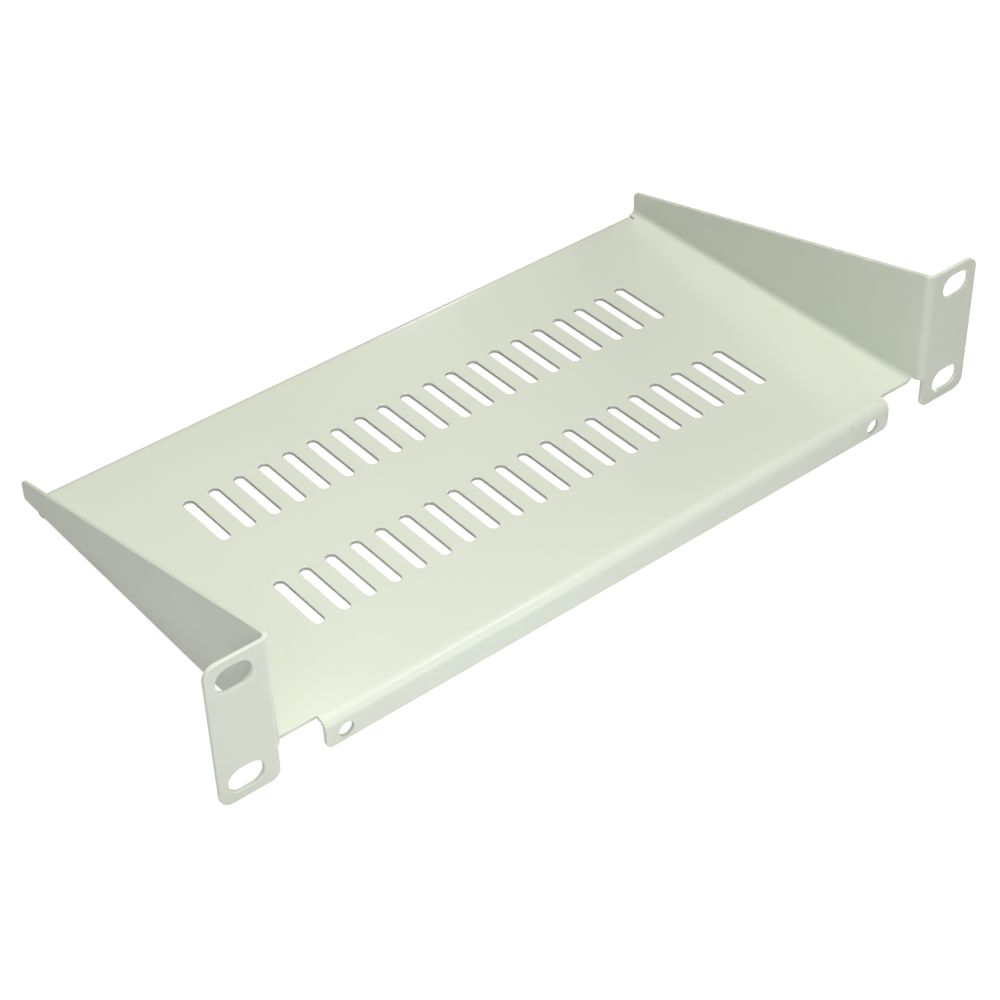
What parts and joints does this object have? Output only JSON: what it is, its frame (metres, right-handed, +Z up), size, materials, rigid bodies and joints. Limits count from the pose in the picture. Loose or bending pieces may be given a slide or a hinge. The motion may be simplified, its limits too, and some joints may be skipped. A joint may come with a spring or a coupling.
{
  "type": "rack shelf",
  "caption": "Folded sheet-steel shelf for a small equipment rack: vented tray, tapering side walls, slotted mounting ears, and front and rear edges turned down.",
  "frame": {"origin": "centre of the four rail bolts, on the back face of the ears where they bear on the rack's rails", "axes": "+X along the tray to the right as seen from the front, +Y back into the rack, +Z up"},
  "size_m": [0.252, 0.12, 0.0442],
  "materials": {
    "powder_coat": "light grey powder coat, semi-gloss, very fine texture"
  },
  "bodies": {
    "root": {"shelf": "powder_coat"}
  },
  "joints": []
}
